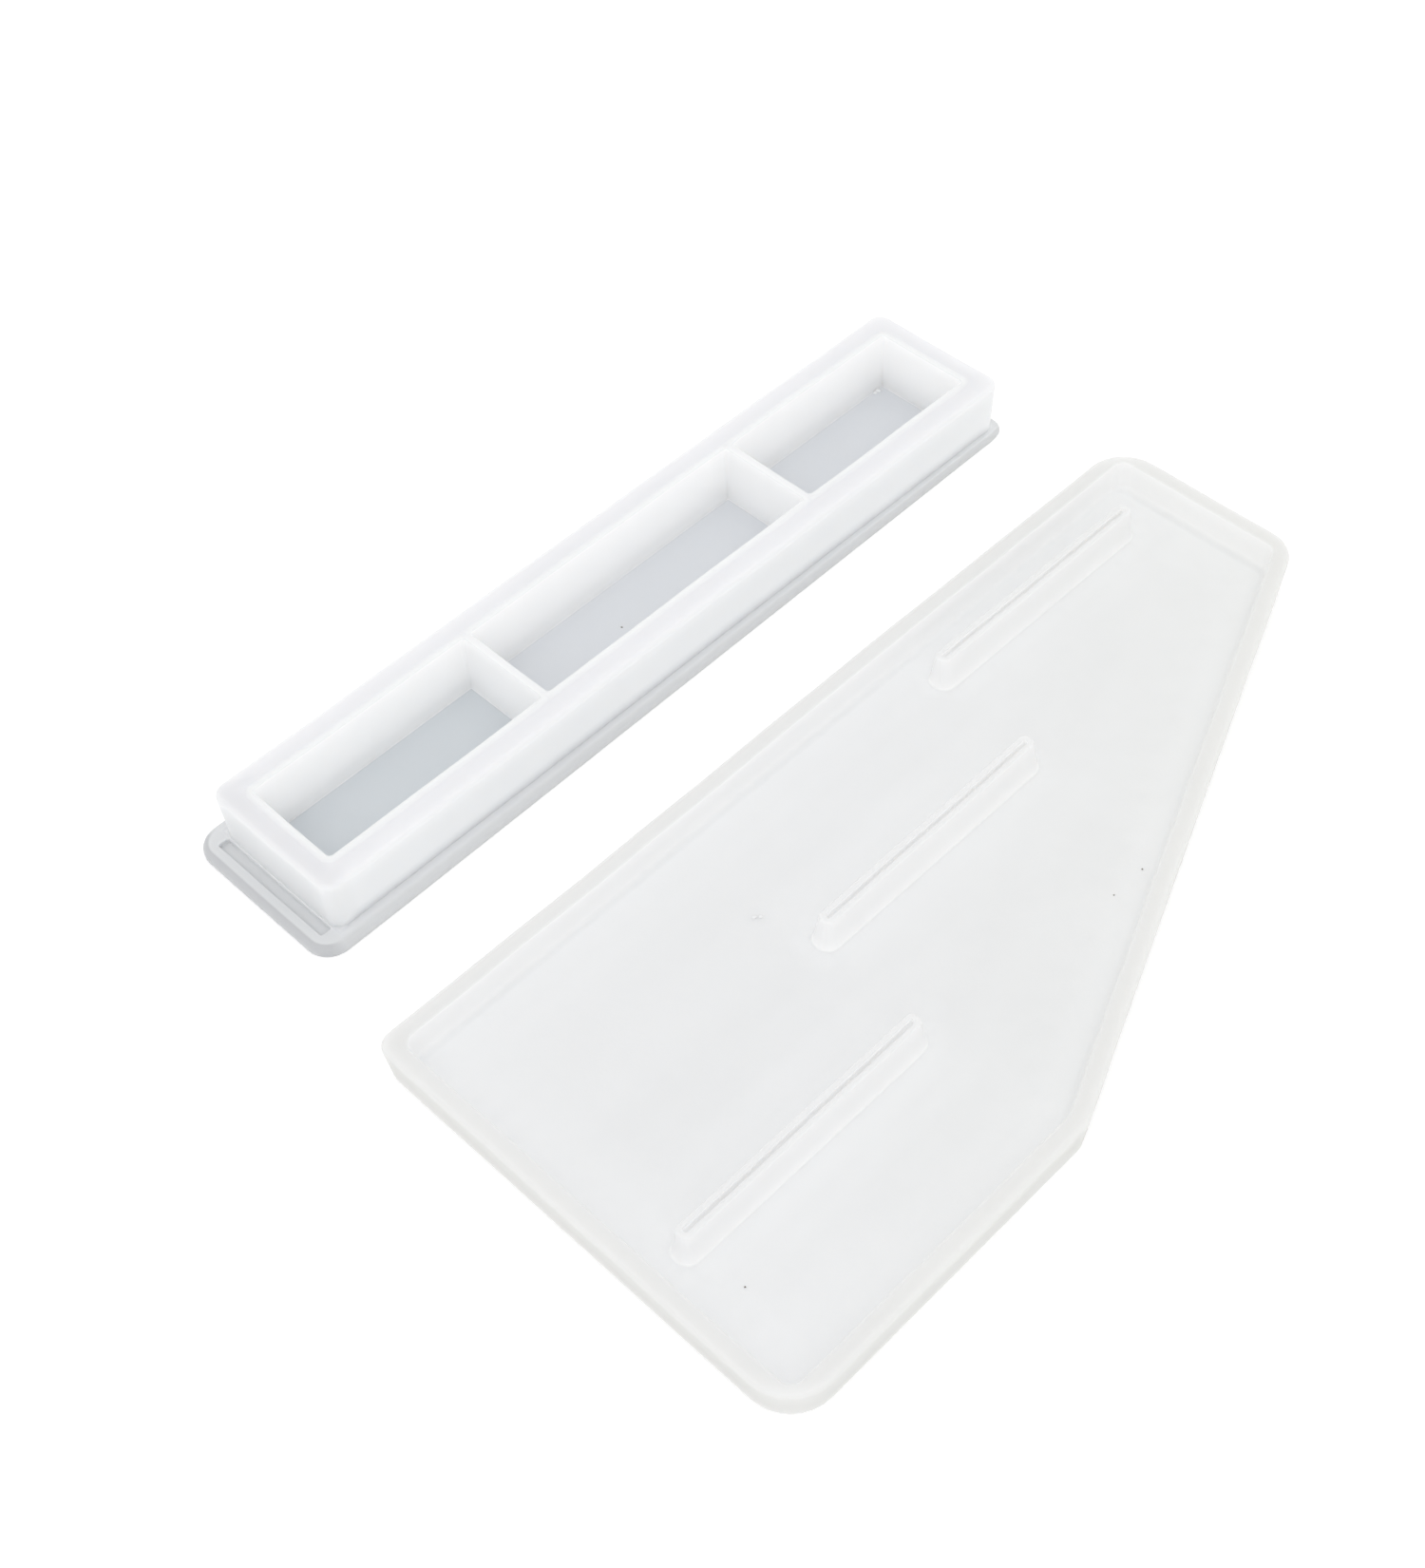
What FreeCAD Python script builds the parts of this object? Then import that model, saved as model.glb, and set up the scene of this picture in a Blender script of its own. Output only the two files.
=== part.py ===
import FreeCAD, Part
import math
import os

from FreeCAD import Vector

# A set of two open-topped silicone casting moulds that lie side by side on a bench:
# a long loaf mould with three cells in a row, and a shallow panel mould with five sides,
# whose three upright fins leave slots in the casting. Each mould is poured in one piece.
# Millimetres, +Z up. The origin is the centre of the footprint of the set, on the bench.

# ---- loaf mould -------------------------------------------------------------------------
CELL_LENGTHS = [60.0, 82.0, 54.0]  # along X, at the top of the cells
CELL_WIDTH = 26.0                  # along Y, at the top of the cells
CELL_DEPTH = 15.5                  # from the floor up to the rim
CELL_CORNER = 0.8                  # upright corners inside a cell
CELL_DRAFT = 0.5                   # each cell wall leans out by this much over its depth
FLOOR_FILLET = 0.5                 # where a cell wall meets the floor
DIVIDER_TOP = 2.0                  # thickness of the web between two cells, at its top
LOAF_FLOOR = 1.5
LOAF_SIDE_WALL = 7.0
LOAF_END_WALL = 6.5
LOAF_CORNER = 4.5                  # upright outer corners
LOAF_LEAN = 0.6                    # the outer walls lean in by this much on the way down
LOAF_RIM_ROUND = 2.0               # outer edge of the rim
LIP_HEIGHT = 0.4                   # raised bead that runs round the mouth of the cells
LIP_WIDTH = 1.4
LIP_CREST = 0.5                    # width of the flat crest of that bead

# ---- foot plate under the loaf mould ----------------------------------------------------
PLATE_THICKNESS = 2.8
PLATE_SIDE = 3.0                   # how far it stands out past the long walls
PLATE_PULL_END = 6.1               # past the end wall, at the end that is gripped
PLATE_PLAIN_END = 1.7              # past the other end wall
PLATE_CORNER = 6.0
PLATE_EDGE_ROUND = 1.2
RECESS_WIDTH = 3.5                 # slot in the plate beside the end wall
RECESS_END_GAP = 2.2               # from each end of the slot to the side of the loaf
RECESS_CORNER = 0.7

# ---- panel mould ------------------------------------------------------------------------
PANEL_LENGTH = 236.5               # long straight edge
PANEL_WIDE_END = 115.0             # edge square to it at the wide end
PANEL_NARROW_END = 51.7            # edge square to it at the narrow end
PANEL_BACK = 82.3                  # short edge that faces the long one
PANEL_HEIGHT = 10.0
PANEL_FLOOR = 1.5
PANEL_WALL = 4.2
PANEL_CORNER = 7.0                 # upright outer corners
PANEL_LEAN = 1.0                   # the outer walls lean in by this much on the way down
PANEL_CELL_CORNER = 3.0            # upright corners inside
PANEL_DRAFT = 0.3
PANEL_RIM_ROUND = 1.2
PANEL_FLOOR_FILLET = 0.6

# ---- fins that leave the slots ----------------------------------------------------------
FIN_COUNT = 3
FIN_LENGTH = 70.5
FIN_THICKNESS = 6.2                # at the floor
FIN_CORNER = 1.2                   # upright corners of a fin
FIN_DRAFT = 0.45                   # each side leans in by this much on the way up
FIN_TOP_ROUND = 0.5
FIN_TOP_DROP = 0.3                 # top of the fins below the rim
FIN_WIDE_END_GAP = 5.4             # from the wall of the wide end to the first fin
FIN_NARROW_END_GAP = 10.4          # from the last fin to the wall of the narrow end
FIN_LONG_EDGE_GAP = 7.7            # from the last fin to the wall of the long edge
FIN_STEP_ACROSS = 29.7             # each fin stands this much nearer to the long edge
GROOVE_WIDTH = 1.4                 # sink line along the top of a fin
GROOVE_DEPTH = 1.0
GROOVE_END_GAP = 3.0               # from each end of the groove to the end of the fin
GROOVE_END_ROUND = 0.9             # rounding of its ends, as a share of half its width

# ---- how the two moulds lie -------------------------------------------------------------
SET_GAP = 27.2                     # between the foot plate and the long edge of the panel
SET_STAGGER = 9.0                  # the panel reaches this much further at the wide end

OVERCUT = 1.0                      # how far a cutting tool passes the surface that it opens


# ---- outlines ---------------------------------------------------------------------------
def rectangle(x_low, y_low, x_high, y_high):
    """The four corners of a rectangle, counter-clockwise."""
    return [(x_low, y_low), (x_high, y_low), (x_high, y_high), (x_low, y_high)]


def inset(corners, distance):
    """The corners of a counter-clockwise outline, moved in by a distance (or out if below 0)."""
    moved = []
    count = len(corners)
    for index in range(count):
        before = Vector(*corners[index - 1], 0)
        here = Vector(*corners[index], 0)
        after = Vector(*corners[(index + 1) % count], 0)
        side_in = (here - before).normalize()
        side_out = (after - here).normalize()
        turn = side_in.x * side_out.y - side_in.y * side_out.x
        shift = (side_out - side_in) * (distance / turn)
        moved.append((here.x + shift.x, here.y + shift.y))
    return moved


def rounded_outline(corners, radius, height):
    """A closed wire through the corners at one height, with each corner rounded by an arc."""
    edges = []
    joints = []
    count = len(corners)
    for index in range(count):
        before = Vector(*corners[index - 1], height)
        here = Vector(*corners[index], height)
        after = Vector(*corners[(index + 1) % count], height)
        back = (before - here).normalize()
        ahead = (after - here).normalize()
        half_angle = back.getAngle(ahead) / 2
        bisector = (back + ahead).normalize()
        centre = here + bisector * (radius / math.sin(half_angle))
        start = here + back * (radius / math.tan(half_angle))
        end = here + ahead * (radius / math.tan(half_angle))
        middle = centre - bisector * radius
        joints.append((start, middle, end))
    for index in range(count):
        start, middle, end = joints[index]
        edges.append(Part.Arc(start, middle, end).toShape())
        edges.append(Part.LineSegment(end, joints[(index + 1) % count][0]).toShape())
    return Part.Wire(edges)


def block(corners, radius, low, high):
    """An upright block on a rounded outline."""
    face = Part.Face(rounded_outline(corners, radius, low))
    return face.extrude(Vector(0, 0, high - low))


def leaning_block(corners, radius, low, high, lean):
    """A block on the given outline at its low end, whose sides lean out by lean on the way up."""
    bottom = rounded_outline(corners, radius, low)
    top = rounded_outline(inset(corners, -lean), radius, high)
    return Part.makeLoft([bottom, top], True, True)


def level_edges(shape, height):
    """The edges of a shape that lie flat at one height."""
    box_tolerance = 1e-4
    found = []
    for edge in shape.Edges:
        box = edge.BoundBox
        if abs(box.ZMin - height) < box_tolerance and abs(box.ZMax - height) < box_tolerance:
            found.append(edge)
    return found


def round_level(shape, height, radius):
    """Round the edges of a shape that lie flat at one height."""
    return shape.makeFillet(radius, level_edges(shape, height))


# ---- loaf mould -------------------------------------------------------------------------
LOAF_RIM = LOAF_FLOOR + CELL_DEPTH
LOAF_TOP = LOAF_RIM + LIP_HEIGHT
CELL_ROW_LENGTH = sum(CELL_LENGTHS) + DIVIDER_TOP * (len(CELL_LENGTHS) - 1)


def loaf_outline():
    """Outside of the loaf, with the first cell's corner at 0, 0."""
    return rectangle(-LOAF_END_WALL, -LOAF_SIDE_WALL,
                     CELL_ROW_LENGTH + LOAF_END_WALL, CELL_WIDTH + LOAF_SIDE_WALL)


def plate_outline():
    """Outside of the foot plate."""
    (x_low, y_low), _, (x_high, y_high), _ = loaf_outline()
    return rectangle(x_low - PLATE_PULL_END, y_low - PLATE_SIDE,
                     x_high + PLATE_PLAIN_END, y_high + PLATE_SIDE)


def foot_plate():
    """The thin plate with rounded corners, with a slot beside the end wall at the pull end."""
    plate = block(plate_outline(), PLATE_CORNER, 0, PLATE_THICKNESS)
    plate = round_level(plate, PLATE_THICKNESS, PLATE_EDGE_ROUND)
    (x_wall, y_low), _, (_, y_high), _ = loaf_outline()
    x_foot = x_wall + LOAF_LEAN
    slot = rectangle(x_foot - RECESS_WIDTH, y_low + RECESS_END_GAP,
                     x_foot, y_high - RECESS_END_GAP)
    return plate.cut(block(slot, RECESS_CORNER, LOAF_FLOOR, PLATE_THICKNESS + OVERCUT))


def cell_cut(x_start, length):
    """The hollow of one cell: it leans out on the way up and is rounded at the floor."""
    mouth = rectangle(x_start, 0, x_start + length, CELL_WIDTH)
    depth = LOAF_TOP - LOAF_FLOOR
    lean = CELL_DRAFT * (depth + OVERCUT) / depth
    hollow = leaning_block(inset(mouth, CELL_DRAFT), CELL_CORNER,
                           LOAF_FLOOR, LOAF_TOP + OVERCUT, lean)
    return round_level(hollow, LOAF_FLOOR, FLOOR_FILLET)


def mouth_lip():
    """The low bead on the rim, round the whole row of cells."""
    row = rectangle(0, 0, CELL_ROW_LENGTH, CELL_WIDTH)
    return leaning_block(inset(row, -LIP_WIDTH), CELL_CORNER + LIP_WIDTH,
                         LOAF_RIM, LOAF_TOP, LIP_CREST - LIP_WIDTH)


def loaf_mould():
    """Foot plate, walls and webs of the three-cell mould."""
    walls = leaning_block(inset(loaf_outline(), LOAF_LEAN), LOAF_CORNER,
                          0, LOAF_RIM, LOAF_LEAN)
    walls = round_level(walls, LOAF_RIM, LOAF_RIM_ROUND)
    mould = walls.fuse([foot_plate(), mouth_lip()])
    x_start = 0
    for length in CELL_LENGTHS:
        mould = mould.cut(cell_cut(x_start, length))
        x_start += length + DIVIDER_TOP
    return mould.removeSplitter()


# ---- panel mould ------------------------------------------------------------------------
def panel_outline():
    """Outside of the panel, counter-clockwise, with the wide end's long-edge corner at 0, 0."""
    return [(0, 0), (0, -PANEL_WIDE_END), (PANEL_BACK, -PANEL_WIDE_END),
            (PANEL_LENGTH, -PANEL_NARROW_END), (PANEL_LENGTH, 0)]


def fin_start(index):
    """Where a fin starts: the fins share out the length that the end gaps leave."""
    first = PANEL_WALL + FIN_WIDE_END_GAP
    last = PANEL_LENGTH - PANEL_WALL - FIN_NARROW_END_GAP - FIN_LENGTH
    return first + (last - first) * index / (FIN_COUNT - 1)


def fin_centre(index):
    """The middle plane of a fin, counted from the last one, which is nearest the long edge."""
    last = -(PANEL_WALL + FIN_LONG_EDGE_GAP + FIN_THICKNESS / 2)
    return last - FIN_STEP_ACROSS * (FIN_COUNT - 1 - index)


def fin(index):
    """One upright fin with a rounded top and a sink line along it."""
    top = PANEL_HEIGHT - FIN_TOP_DROP
    x_start = fin_start(index)
    y_centre = fin_centre(index)
    sides = rectangle(x_start, y_centre - FIN_THICKNESS / 2,
                      x_start + FIN_LENGTH, y_centre + FIN_THICKNESS / 2)
    wall = leaning_block(sides, FIN_CORNER, PANEL_FLOOR, top, -FIN_DRAFT)
    wall = round_level(wall, top, FIN_TOP_ROUND)
    groove = rectangle(x_start + GROOVE_END_GAP, y_centre - GROOVE_WIDTH / 2,
                       x_start + FIN_LENGTH - GROOVE_END_GAP, y_centre + GROOVE_WIDTH / 2)
    end_radius = GROOVE_END_ROUND * GROOVE_WIDTH / 2
    return wall.cut(block(groove, end_radius, top - GROOVE_DEPTH, top + OVERCUT))


def panel_mould():
    """The shallow five-sided tray with its fins."""
    tray = leaning_block(inset(panel_outline(), PANEL_LEAN), PANEL_CORNER,
                         0, PANEL_HEIGHT, PANEL_LEAN)
    tray = round_level(tray, PANEL_HEIGHT, PANEL_RIM_ROUND)
    depth = PANEL_HEIGHT - PANEL_FLOOR
    lean = PANEL_DRAFT * (depth + OVERCUT) / depth
    hollow = leaning_block(inset(panel_outline(), PANEL_WALL + PANEL_DRAFT), PANEL_CELL_CORNER,
                           PANEL_FLOOR, PANEL_HEIGHT + OVERCUT, lean)
    hollow = round_level(hollow, PANEL_FLOOR, PANEL_FLOOR_FILLET)
    mould = tray.cut(hollow).fuse([fin(index) for index in range(FIN_COUNT)])
    return mould.removeSplitter()


# ---- the set ----------------------------------------------------------------------------
def place_set():
    """Both moulds in the frame of the set, centred on their common footprint."""
    (plate_low_x, plate_low_y), _, (plate_high_x, plate_high_y), _ = plate_outline()
    panel_x = plate_low_x - SET_STAGGER
    panel_y = plate_low_y - SET_GAP
    centre_x = (min(panel_x, plate_low_x) + max(panel_x + PANEL_LENGTH, plate_high_x)) / 2
    centre_y = (panel_y - PANEL_WIDE_END + plate_high_y) / 2
    loaf = loaf_mould()
    loaf.translate(Vector(-centre_x, -centre_y, 0))
    panel = panel_mould()
    panel.translate(Vector(panel_x - centre_x, panel_y - centre_y, 0))
    return {"loaf_mould": loaf, "panel_mould": panel}


def main():
    os.makedirs("parts", exist_ok=True)
    for name, shape in place_set().items():
        solids = shape.Solids
        solid = solids[0]
        print(name, "solids", len(solids), "valid", shape.isValid(),
              "volume %.0f mm3" % solid.Volume, solid.BoundBox)
        solid.exportStep("parts/%s.step" % name)


main()
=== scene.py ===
# %% [markdown]
# # A set of two silicone casting moulds
# A long loaf mould with three cells lies beside a shallow five-sided tray with upright fins.
# Both are cast from translucent platinum silicone: milky, satin, with soft edges that are never
# quite straight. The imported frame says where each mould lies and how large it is. This file
# builds the skin of each one in place, so nothing has to be fitted afterwards.

import math

import bmesh
import bpy
import numpy as np
from mathutils import Matrix, Vector
from mathutils.bvhtree import BVHTree
from mathutils.geometry import delaunay_2d_cdt


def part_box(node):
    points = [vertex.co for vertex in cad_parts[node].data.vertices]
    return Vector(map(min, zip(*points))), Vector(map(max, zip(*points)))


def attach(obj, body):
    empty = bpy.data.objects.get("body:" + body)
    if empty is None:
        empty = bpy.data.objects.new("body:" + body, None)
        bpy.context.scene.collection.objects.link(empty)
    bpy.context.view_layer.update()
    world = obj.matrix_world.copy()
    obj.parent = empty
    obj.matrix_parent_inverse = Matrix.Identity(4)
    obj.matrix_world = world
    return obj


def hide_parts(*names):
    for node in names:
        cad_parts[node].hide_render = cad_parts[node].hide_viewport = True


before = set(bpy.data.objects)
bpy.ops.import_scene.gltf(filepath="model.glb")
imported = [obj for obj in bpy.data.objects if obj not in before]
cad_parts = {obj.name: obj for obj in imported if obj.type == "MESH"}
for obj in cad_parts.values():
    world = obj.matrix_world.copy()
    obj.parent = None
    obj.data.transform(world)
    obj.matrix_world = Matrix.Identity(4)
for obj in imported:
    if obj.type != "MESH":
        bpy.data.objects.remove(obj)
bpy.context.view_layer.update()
MM = 0.001

# %% [markdown]
# ## Sizes
# The two CAD boxes give the overall sizes and places. Walls, floors and roundings are set here
# once, in millimetres, and each profile below is worked out from them.

# %% Sizes of the loaf mould
LOAF_LOW, LOAF_HIGH = (np.array(corner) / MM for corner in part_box("loaf_mould"))
CELL_LENGTHS = (60.0, 82.0, 54.0)
DIVIDER = 2.0            # web between two cells, at its top
CELL_WIDTH = 26.0
CELL_CORNER = 0.9
CELL_DRAFT = 0.5         # each cell wall leans out by this much on the way up
FLOOR = 1.5
SIDE_WALL, END_WALL = 7.0, 6.5
WALL_LEAN = 0.6          # the outside of the walls leans out by this much on the way up
WALL_CORNER = 3.4
RIM_ROUND = 1.1
LIP_WIDTH, LIP_HEIGHT = 2.0, 0.4
PLATE = 2.8              # thickness of the foot plate
PLATE_SIDE, PLATE_PULL_END, PLATE_PLAIN_END = 3.0, 6.1, 1.7
PLATE_CORNER = 6.0
PLATE_ROUND = 1.7
PLATE_TAPER = 2.0        # the side by the tray stands out this much less at the plain end
SLOT_WIDTH, SLOT_END_GAP, SLOT_CORNER = 2.85, 2.2, 0.7
SLOT_BEAD = 0.36         # between the end wall's foot and the slot

LOAF_TOP = LOAF_HIGH[2]
LOAF_RIM = LOAF_TOP - LIP_HEIGHT
CELL_ROW_X = LOAF_LOW[0] + PLATE_PULL_END + END_WALL   # where the first cell starts
CELL_ROW_Y = LOAF_LOW[1] + PLATE_SIDE + SIDE_WALL
CELL_ROW_END = CELL_ROW_X + sum(CELL_LENGTHS) + (len(CELL_LENGTHS) - 1) * DIVIDER
print("cell row from %.2f to %.2f mm, rim at %.1f mm" % (CELL_ROW_X, CELL_ROW_END, LOAF_RIM))

# %% Sizes of the panel tray
PANEL_LOW, PANEL_HIGH = (np.array(corner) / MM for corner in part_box("panel_mould"))
PANEL_NARROW_END = 51.7
PANEL_BACK = 82.3
PANEL_WALL, PANEL_DRAFT = 4.2, 0.3
PANEL_LEAN = 1.0         # lean of the outside, over the whole height
PANEL_CORNERS = np.array([10.5, 4.0, 9.0, 10.5, 4.0])    # from the wide near corner round
PANEL_CELL_CORNER = 3.0
PANEL_ROUND = 1.2
FIN_COUNT = 3
FIN_LENGTH, FIN_THICKNESS, FIN_CORNER = 69.3, 6.2, 2.8    # at the floor
FIN_DRAFT = 1.25         # the sides lean in by this much on the way up
FIN_TOP_DROP = 0.3
FIN_WIDE_END_GAP, FIN_NARROW_END_GAP, FIN_LONG_EDGE_GAP = 6.6, 10.4, 7.7
FIN_STEP_ACROSS = 29.7
GROOVE_WIDTH, GROOVE_DEPTH, GROOVE_END_GAP = 1.1, 0.7, 2.6
GROOVE_FOOT, GROOVE_EDGE = 0.35, 0.2     # roundings of the groove
PANEL_SINK = 0.12        # the underside is let this far into the sheet, so that light
                         # from beneath comes up through the clear floor
PANEL_TOP = PANEL_HIGH[2]
PANEL_LOW[2] -= PANEL_SINK
print("panel outline %.1f by %.1f mm" % tuple((PANEL_HIGH - PANEL_LOW)[:2]))

# %% [markdown]
# ## Skins made of rings
# A mould is a stack of closed outlines: round the floor of a cell, up its wall, over the rim,
# down the outside and under. If every outline has the same number of points, the faces between
# two of them are plain quads that follow the flow of the part, and each rounding is a few rings
# close together. That gives even shading on the soft edges, which a cut solid lacks.

# %% Outlines with rounded corners
ARC_STEPS = 8


def unit(vector):
    """The same direction with a length of one."""
    return vector / np.linalg.norm(vector)


def ring(corners, radii, runs):
    """Points round a counter-clockwise outline. radii rounds each corner, and runs holds, for
    each side, the shares of its straight stretch at which it gets a point."""
    count = len(corners)
    arcs = []
    for index in range(count):
        before, here, after = (np.array(corners[(index + step) % count], float)
                               for step in (-1, 0, 1))
        back, ahead = unit(before - here), unit(after - here)
        half_angle = math.acos(np.clip(back @ ahead, -1, 1)) / 2
        centre = here + unit(back + ahead) * radii[index] / math.sin(half_angle)
        spoke = here + back * radii[index] / math.tan(half_angle) - centre
        angles = (math.pi - 2 * half_angle) * np.arange(ARC_STEPS + 1) / ARC_STEPS
        cos, sin = np.cos(angles), np.sin(angles)
        arcs.append(np.stack([centre[0] + spoke[0] * cos - spoke[1] * sin,
                              centre[1] + spoke[0] * sin + spoke[1] * cos], 1))
    points = []
    for index in range(count):
        start, end = arcs[index][-1], arcs[(index + 1) % count][0]
        points.append(arcs[index])
        points.append(start + np.outer(runs[index], end - start))
    return np.concatenate(points)


def rectangle(x_low, y_low, x_high, y_high):
    """The corners of a rectangle, counter-clockwise from the lowest."""
    return [(x_low, y_low), (x_high, y_low), (x_high, y_high), (x_low, y_high)]


def even_run(count):
    """Shares that divide a side into equal parts with count points inside it."""
    return np.arange(1, count + 1) / (count + 1)


def quarter(radius, steps):
    """A quarter circle from (0, 0) that starts level and ends upright, as (out, down) pairs."""
    angles = np.linspace(0, math.pi / 2, steps + 1)
    return [(radius * math.sin(angle), radius * (1 - math.cos(angle))) for angle in angles]


example = ring(rectangle(0, 0, 30, 20), [3] * 4, [even_run(4)] * 4)
print("an outline with 4 points on each side and", ARC_STEPS, "steps a corner:", len(example),
      "points")

# %% A skin collects rings and the faces between them
class Skin:
    """Rings of points, the quads between them, and for each point a value for how far along
    the skin it lies, which the material turns to a tint."""

    def __init__(self):
        self.mesh = bmesh.new()         # in millimetres
        self.way = self.mesh.verts.layers.float.new("way")

    def lay(self, outline, height, way):
        """Adds one ring. Its height and way may differ from point to point."""
        heights = np.broadcast_to(height, len(outline))
        row = [self.mesh.verts.new((x, y, z)) for (x, y), z in zip(outline, heights)]
        for vert, value in zip(row, np.broadcast_to(way, len(outline))):
            vert[self.way] = value
        return row

    def bridge(self, inner, outer):
        """Quads from one ring to the next, with their faces up or out."""
        count = len(inner)
        for index in range(count):
            follow = (index + 1) % count
            self.mesh.faces.new((inner[index], outer[index], outer[follow], inner[follow]))

    def stack(self, rows):
        """Lays (outline, height, way) rows and bridges each to the one before."""
        laid = [self.lay(*row) for row in rows]
        for inner, outer in zip(laid, laid[1:]):
            self.bridge(inner, outer)
        return laid

    def shrink(self, row, share):
        """A copy of a ring, drawn in towards its middle."""
        middle = sum((vert.co for vert in row), Vector()) / len(row)
        drawn = [self.mesh.verts.new(middle.lerp(vert.co, share)) for vert in row]
        for vert, source in zip(drawn, row):
            vert[self.way] = source[self.way]
        return drawn

    def close(self, row, up):
        """Closes a ring with rings that shrink to a fan, so that no face is a sliver."""
        for share in (0.75, 0.6, 0.3):
            drawn = self.shrink(row, share)
            self.bridge(*((drawn, row) if up else (row, drawn)))
            row = drawn
        middle = self.shrink(row[:1], 1.0)[0]
        middle.co = sum((vert.co for vert in row), Vector()) / len(row)
        for index in range(len(row)):
            pair = (row[index], row[(index + 1) % len(row)])
            self.mesh.faces.new((middle, *(pair if up else pair[::-1])))


# %% Filling a level space
def fill_between(skin, *rows, spacing=None):
    """Fills the level space between an outer ring and the rings inside it. With a spacing,
    points set in a staggered grid keep the triangles even."""
    verts = [vert for row in rows for vert in row]
    starts = np.cumsum([0] + [len(row) for row in rows])
    outlines = [list(range(start, end)) for start, end in zip(starts, starts[1:])]
    places = [vert.co.xy for vert in verts]
    if spacing:
        edges = np.array(places)
        low, high = edges.min(0), edges.max(0)
        pitch = spacing * 0.866     # from row to row, where the triangles are even
        for row, y in enumerate(np.arange(low[1], high[1], pitch)):
            for x in np.arange(low[0] + row % 2 * spacing / 2, high[0], spacing):
                if np.min(np.hypot(*(edges - (x, y)).T)) > spacing * 0.6:
                    places.append(Vector((x, y)))
    _, _, faces, sources, _, owners = delaunay_2d_cdt(places, [], outlines, 1, 1e-6)
    level, at_edge = verts[0].co.z, verts[0][skin.way]
    for face, owner in zip(faces, owners):
        if list(owner) != [0]:      # outside, or inside one of the inner rings
            continue
        corners = []
        for place in (sources[index][0] for index in face):
            if place >= len(verts) or verts[place] is None:
                verts += [None] * (place + 1 - len(verts))
                verts[place] = skin.mesh.verts.new((*places[place], level))
                verts[place][skin.way] = at_edge
            corners.append(verts[place])
        skin.mesh.faces.new(corners)


# %% Taking in a baked mesh
def take(skin, data):
    """Adds a baked mesh and returns the rings along its open edges, counter-clockwise."""
    old = set(skin.mesh.verts)
    skin.mesh.from_mesh(data)
    new = [vert for vert in skin.mesh.verts if vert not in old]
    for vert in new:
        vert.co /= MM
    after = {}
    for vert in new:
        for edge in vert.link_edges:
            if edge.is_boundary:
                loop = edge.link_loops[0]
                after[loop.vert] = loop.link_loop_next.vert
    rings = []
    while after:
        here = next(iter(after))
        row = []
        while here in after:
            row.append(here)
            here = after.pop(here)
        rings.append(row)
    return rings


# %% From a skin to an object
def wander(points):
    """Cast silicone is never quite straight: long slow bows and a shorter ripple, in mm."""
    x, y, z = points.T
    lift = np.clip(z / 6.0, 0.15, 1.0)      # the foot is held straight by the bench
    slow, quick = 0.16, 0.05
    across = slow * np.sin(x / 31.0 + 0.6) + quick * np.sin(x / 6.3 + y / 9.0)
    along = slow * 0.6 * np.sin(y / 23.0 + 1.9) + quick * np.sin(y / 5.7 + x / 11.0 + 2.0)
    rise = 0.07 * np.sin(x / 19.0 + y / 27.0) + 0.03 * np.sin(x / 5.1 - y / 7.3)
    top = np.clip((z - 3.0) / 5.0, 0, 1)    # floors and the foot plate stay level
    return points + np.stack([along * lift, across * lift, rise * top], 1)


def add_object(name, data):
    """Puts an object with this data in the scene, at the origin."""
    made = bpy.data.objects.new(name, data)
    bpy.context.scene.collection.objects.link(made)
    return made


def to_data(skin, name):
    """The skin's points and faces as mesh data, still in millimetres."""
    data = bpy.data.meshes.new(name)
    skin.mesh.to_mesh(data)
    skin.mesh.free()
    return data


def finish(skin, name, low, high):
    """Joins the seams, lets the edges wander, fits the box and makes the object, in metres."""
    bmesh.ops.remove_doubles(skin.mesh, verts=skin.mesh.verts, dist=1e-4)
    data = to_data(skin, name)
    points = wander(np.array([vert.co for vert in data.vertices]))
    reach_low, reach_high = points.min(0), points.max(0)
    points = low + (points - reach_low) * (high - low) / (reach_high - reach_low)
    data.vertices.foreach_set("co", (points * MM).astype(np.float32).ravel())
    data.polygons.foreach_set("use_smooth", [True] * len(data.polygons))
    data.update()
    return add_object(name, data)


# %% [markdown]
# ## Cast silicone
# Platinum silicone is milky because light scatters inside it. Thick walls send nearly all of it
# back and look white; a floor 1.5 mm thick lets more through and looks cooler and greyer. Each
# skin carries its "way", from the floor over the rim to the outside, and a colour ramp turns
# that to a tint and to the depth that light wanders; the tints also hold painted light and
# shade. A second value, "level", paints further light and shade onto the tint, brighter or
# greyer. The surface is satin, as it leaves a polished former, with a faint grain and slow
# undulations.
#
# Glass mixed with white would do too, but its thin floors turn glassy and its walls go dark.
# Scattering under the surface gives the milk and the soft edges in one shader.

# %% Helpers for node trees
def fill_inputs(tree, node, inputs):
    """Sets or links a node's inputs, each by name or by place."""
    for key, value in inputs.items():
        socket = node.inputs[key]
        if isinstance(value, bpy.types.NodeSocket):
            tree.links.new(value, socket)
        else:
            socket.default_value = value


def add_node(tree, kind, inputs=None, **settings):
    """Adds a node, sets its properties, and sets or links its inputs."""
    made = tree.nodes.new(kind)
    for name, value in settings.items():
        setattr(made, name, value)
    fill_inputs(tree, made, inputs or {})
    return made


def new_material(name):
    """A material, its node tree and its main shader."""
    material = bpy.data.materials.new(name)
    material.use_nodes = True
    return material, material.node_tree, material.node_tree.nodes["Principled BSDF"]


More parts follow.
